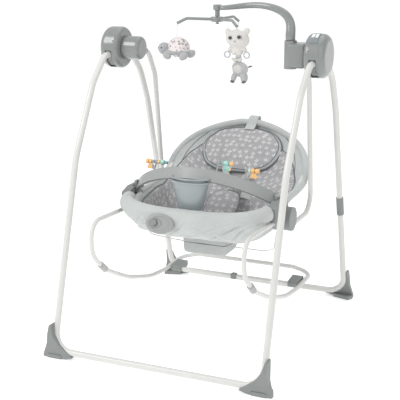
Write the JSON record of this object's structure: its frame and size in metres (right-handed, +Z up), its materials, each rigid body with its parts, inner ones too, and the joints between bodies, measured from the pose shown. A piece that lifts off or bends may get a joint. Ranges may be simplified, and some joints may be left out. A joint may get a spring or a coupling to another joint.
{
  "type": "baby swing",
  "caption": "Electric baby swing: tubular folding stand with two drive hubs, hanging reclining rocker seat, toy bar and hanging mobile.",
  "frame": {"origin": "on the floor under the middle of the stand's footprint", "axes": "+Z up, +X to the right seen from the front, -Y towards the front, where the baby looks"},
  "size_m": [0.744, 0.887, 1.0535],
  "materials": {
    "grey_plastic": "smooth grey",
    "bearing_plastic": "natural",
    "steel": "bright",
    "panel_plastic": "grey keyplate",
    "key_plastic": "white keys",
    "white_paint": "satin white",
    "dark_plastic": "dark",
    "cord_white": "white cord",
    "plush": "short pile",
    "seat_fabric": "light grey weave",
    "pocket_fabric": "grey mesh",
    "strap_fabric": "webbing",
    "pillow_fabric": "printed grey",
    "toy_orange": "orange",
    "toy_teal": "teal"
  },
  "bodies": {
    "stand": {"hub_shell_left": "grey_plastic", "hub_shell_right": "grey_plastic", "hub_cover_left": "grey_plastic", "hub_cover_right": "grey_plastic", "shaft_bushes": "bearing_plastic", "hub_screws": "steel", "control_panel": "panel_plastic", "drive_motor": "steel", "battery_cells": "steel", "rear_leg_left": "white_paint", "rear_leg_right": "white_paint", "rear_base_tube": "white_paint", "rear_sleeves": "grey_plastic", "rear_feet": "grey_plastic"},
    "front_frame": {"front_leg_left": "white_paint", "front_leg_right": "white_paint", "front_base_tube": "white_paint", "fold_knuckles": "dark_plastic", "front_feet": "grey_plastic"},
    "swing": {"swing_shafts": "steel", "drive_gear": "bearing_plastic", "swing_knob_left": "grey_plastic", "swing_knob_right": "grey_plastic", "swing_arm_left": "white_paint", "swing_arm_right": "white_paint", "mobile_arm": "grey_plastic", "mobile_cap": "grey_plastic"},
    "mobile": {"mobile_rotor": "grey_plastic"},
    "turtle": {"turtle_string": "cord_white", "turtle_toy": "plush"},
    "giraffe": {"giraffe_string": "cord_white", "giraffe_toy": "plush"},
    "cat": {"cat_toy": "plush"},
    "seat": {"bracket_left": "grey_plastic", "bracket_right": "grey_plastic", "rocker_side_left": "white_paint", "rocker_side_right": "white_paint", "rocker_rear_bar": "white_paint", "rocker_pads": "grey_plastic", "seat_front_tube": "white_paint", "under_wire": "white_paint", "seat_sling": "seat_fabric", "under_pocket": "pocket_fabric", "vibration_unit": "grey_plastic", "harness": "strap_fabric"},
    "backrest": {"back_frame": "white_paint", "back_sling": "seat_fabric", "head_pillow": "pillow_fabric"},
    "tray": {"toy_bar": "grey_plastic", "bar_cup": "grey_plastic"},
    "spinner_a": {"toy_spinner_a": "toy_orange"},
    "spinner_b": {"toy_spinner_b": "toy_teal"},
    "spinner_c": {"toy_spinner_c": "toy_teal"},
    "spinner_d": {"toy_spinner_d": "toy_orange"},
    "rock_stop": {"stop_bar": "white_paint", "stop_flaps": "grey_plastic"},
    "speed_key": {"speed_button": "key_plastic"},
    "music_key": {"music_button": "key_plastic"},
    "vibration_key": {"vibration_button": "key_plastic"}
  },
  "joints": [
    {"name": "front_fold", "type": "hinge", "parent": "stand", "child": "front_frame", "pos_m": [0, 0.0195, 0.9], "axis": [1, 0, 0], "range_deg": [0, 40]},
    {"name": "swing", "type": "hinge", "parent": "stand", "child": "swing", "pos_m": [0, 0.0195, 0.9], "axis": [1, 0, 0], "range_deg": [-14, 14]},
    {"name": "mobile_spin", "type": "hinge", "parent": "swing", "child": "mobile", "pos_m": [0.012, 0.0195, 0.999], "axis": [0, 0, 1], "continuous": true},
    {"name": "turtle_sway", "type": "hinge", "parent": "mobile", "child": "turtle", "pos_m": [-0.10546, -0.02325, 0.9814], "axis": [0, 1, 0], "range_deg": [-25, 25]},
    {"name": "giraffe_sway", "type": "hinge", "parent": "mobile", "child": "giraffe", "pos_m": [0.03371, 0.1426, 0.9814], "axis": [0, 1, 0], "range_deg": [-20, 20]},
    {"name": "cat_sway", "type": "hinge", "parent": "mobile", "child": "cat", "pos_m": [0.10776, -0.06085, 0.9814], "axis": [0, 1, 0], "range_deg": [-20, 20]},
    {"name": "seat_release", "type": "slide", "parent": "swing", "child": "seat", "axis": [0, -1, 0], "range_m": [0, 0.045]},
    {"name": "recline", "type": "hinge", "parent": "seat", "child": "backrest", "pos_m": [0, -0.0185, 0.4], "axis": [1, 0, 0], "range_deg": [-10, 14]},
    {"name": "tray_lift", "type": "slide", "parent": "seat", "child": "tray", "axis": [0, 0, 1], "range_m": [0, 0.055]},
    {"name": "stop_flip", "type": "hinge", "parent": "seat", "child": "rock_stop", "pos_m": [0, 0.2515, 0.1095], "axis": [1, 0, 0], "range_deg": [0, 85]},
    {"name": "spin_a", "type": "hinge", "parent": "tray", "child": "spinner_a", "pos_m": [-0.152, -0.08189, 0.55656], "axis": [1, 0, 0], "continuous": true},
    {"name": "spin_b", "type": "hinge", "parent": "tray", "child": "spinner_b", "pos_m": [-0.152, -0.08189, 0.55656], "axis": [1, 0, 0], "continuous": true},
    {"name": "spin_c", "type": "hinge", "parent": "tray", "child": "spinner_c", "pos_m": [0.073, -0.10903, 0.57865], "axis": [1, 0, 0], "continuous": true},
    {"name": "spin_d", "type": "hinge", "parent": "tray", "child": "spinner_d", "pos_m": [0.153, -0.08138, 0.55616], "axis": [1, 0, 0], "continuous": true},
    {"name": "speed_press", "type": "slide", "parent": "stand", "child": "speed_key", "axis": [0, 0.3939, -0.9191], "range_m": [0, 0.0009], "stiffness_N_per_m": 300},
    {"name": "music_press", "type": "slide", "parent": "stand", "child": "music_key", "axis": [0, 0.3939, -0.9191], "range_m": [0, 0.0009], "stiffness_N_per_m": 300},
    {"name": "vibration_press", "type": "slide", "parent": "seat", "child": "vibration_key", "axis": [0, 0.9272, -0.3746], "range_m": [0, 0.0015], "stiffness_N_per_m": 300}
  ]
}
